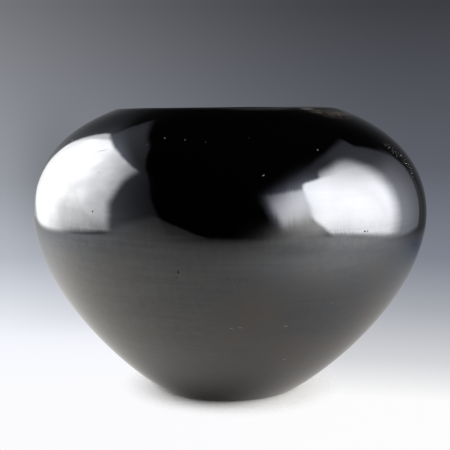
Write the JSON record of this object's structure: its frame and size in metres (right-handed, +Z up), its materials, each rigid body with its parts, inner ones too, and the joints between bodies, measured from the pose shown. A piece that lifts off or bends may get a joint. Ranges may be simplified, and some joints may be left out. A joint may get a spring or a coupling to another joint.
{
  "type": "pottery bowl",
  "caption": "Round hand-built blackware bowl with a high wide belly, a closed-in shoulder, a rounded lip and a small flat foot, stone-polished outside and plain within.",
  "frame": {"origin": "on the surface the foot rests on, under the centre of the belly", "axes": "+Z up through the mouth, +X to the right and +Y away in the picture's view"},
  "size_m": [0.203, 0.203, 0.1455],
  "materials": {
    "burnished_blackware": "black, stone-polished to a gloss outside and over the lip, reduction fired"
  },
  "bodies": {
    "root": {"bowl": "burnished_blackware"}
  },
  "joints": []
}
